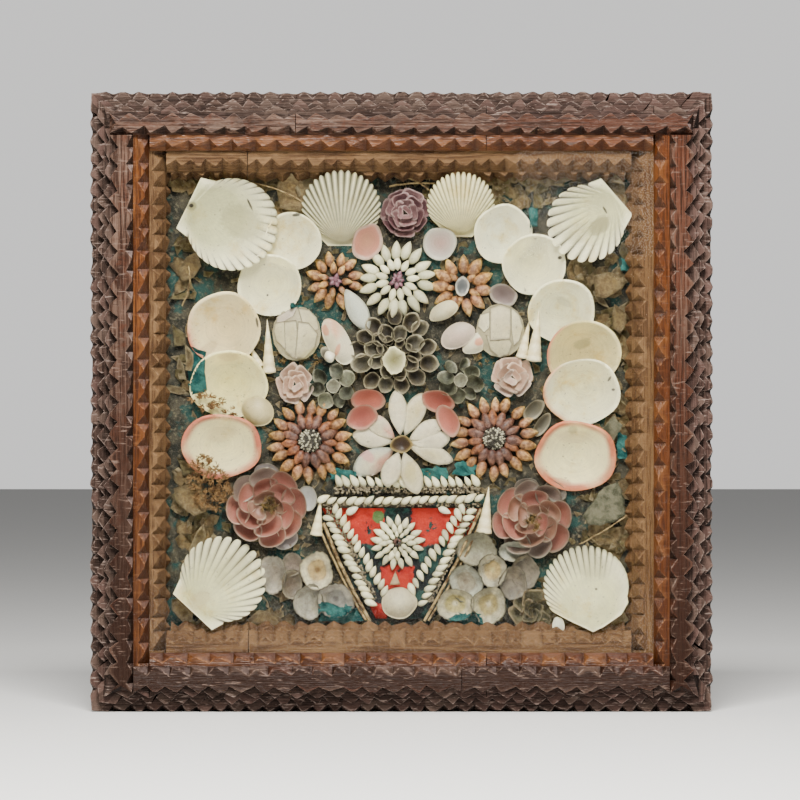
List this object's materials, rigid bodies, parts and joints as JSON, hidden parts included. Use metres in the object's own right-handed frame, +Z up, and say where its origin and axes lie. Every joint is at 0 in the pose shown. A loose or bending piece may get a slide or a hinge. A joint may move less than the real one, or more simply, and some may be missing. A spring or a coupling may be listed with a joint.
{
  "type": "sailors valentine",
  "caption": "Shellwork bouquet in an urn, in a glazed wooden shadow box with stepped, chip-carved notched rails; stands on its lower edge or lies on its flat back.",
  "frame": {"origin": "middle of the bounding box's underside, on the surface the picture stands on", "axes": "+X across the picture to its right as seen from the front, +Y from the glass to the backboard (the picture faces -Y), +Z up"},
  "size_m": [0.46, 0.054, 0.458],
  "materials": {
    "weathered_wood": "dark mauve-brown chip-carved wood, weathered and dusty, with fine grain",
    "amber_wood": "glossy orange-amber varnished wood with worn, darkened notch tips",
    "raw_wood": "unvarnished ochre-tan wood, dry, with dust in the notches",
    "crate_wood": "plain rough-sawn softwood, darkened with age",
    "teal_paper": "faded dark paper with teal paint showing between the shells",
    "red_paper": "red paper with a few dark green and light green marks, slightly glossy",
    "glass": "clear old window glass",
    "ivory_shell": "ivory scallop shell, satin inside, ribbed",
    "cream_shell": "cream clam shell, smooth satin inside, some rims pink or orange",
    "white_shell": "white and blue-white small shells, satin",
    "brown_shell": "tan and red-brown small shells with yellow tips, satin",
    "grey_shell": "grey-olive shells, ribbed or cupped, matt",
    "mauve_shell": "mauve-pink cupped shells with pale rims, satin",
    "purple_shell": "dull purple shell petals, satin"
  },
  "bodies": {
    "root": {"base_tier_top": "weathered_wood", "base_tier_bottom": "weathered_wood", "base_tier_left": "weathered_wood", "base_tier_right": "weathered_wood", "second_tier_top": "weathered_wood", "second_tier_bottom": "weathered_wood", "second_tier_left": "weathered_wood", "second_tier_right": "weathered_wood", "ledge_tier_top": "amber_wood", "ledge_tier_bottom": "amber_wood", "ledge_tier_left": "amber_wood", "ledge_tier_right": "amber_wood", "ridge_tier_top": "weathered_wood", "ridge_tier_bottom": "weathered_wood", "ridge_tier_left": "weathered_wood", "ridge_tier_right": "weathered_wood", "glass_pane": "glass", "upper_lining_top": "raw_wood", "upper_lining_bottom": "raw_wood", "upper_lining_left": "raw_wood", "upper_lining_right": "raw_wood", "lower_lining_top": "raw_wood", "lower_lining_bottom": "raw_wood", "lower_lining_left": "raw_wood", "lower_lining_right": "raw_wood", "case_wall_top": "crate_wood", "case_wall_bottom": "crate_wood", "case_wall_left": "crate_wood", "case_wall_right": "crate_wood", "shell_board": "teal_paper", "backboard": "crate_wood", "scallop_top_left": "ivory_shell", "scallop_top_right": "ivory_shell", "scallop_bottom_left": "ivory_shell", "scallop_bottom_right": "ivory_shell", "scallop_fan_left": "grey_shell", "scallop_fan_right": "ivory_shell", "disc_shell_left_1": "cream_shell", "disc_shell_left_2": "cream_shell", "disc_shell_left_3": "cream_shell", "disc_shell_left_4": "cream_shell", "disc_shell_left_5": "cream_shell", "disc_shell_right_1": "cream_shell", "disc_shell_right_2": "cream_shell", "disc_shell_right_3": "cream_shell", "disc_shell_right_4": "cream_shell", "disc_shell_right_5": "cream_shell", "disc_shell_right_6": "cream_shell", "flower_white_daisy": "white_shell", "flower_brown_upper_left": "brown_shell", "flower_brown_upper_right": "brown_shell", "flower_grey_cups": "grey_shell", "flower_long_petals": "white_shell", "flower_brown_lower_left": "brown_shell", "flower_brown_lower_right": "brown_shell", "rose_mauve_left": "mauve_shell", "rose_mauve_right": "mauve_shell", "rose_purple": "purple_shell", "urn_panel": "red_paper", "urn_band": "white_shell"}
  },
  "joints": []
}
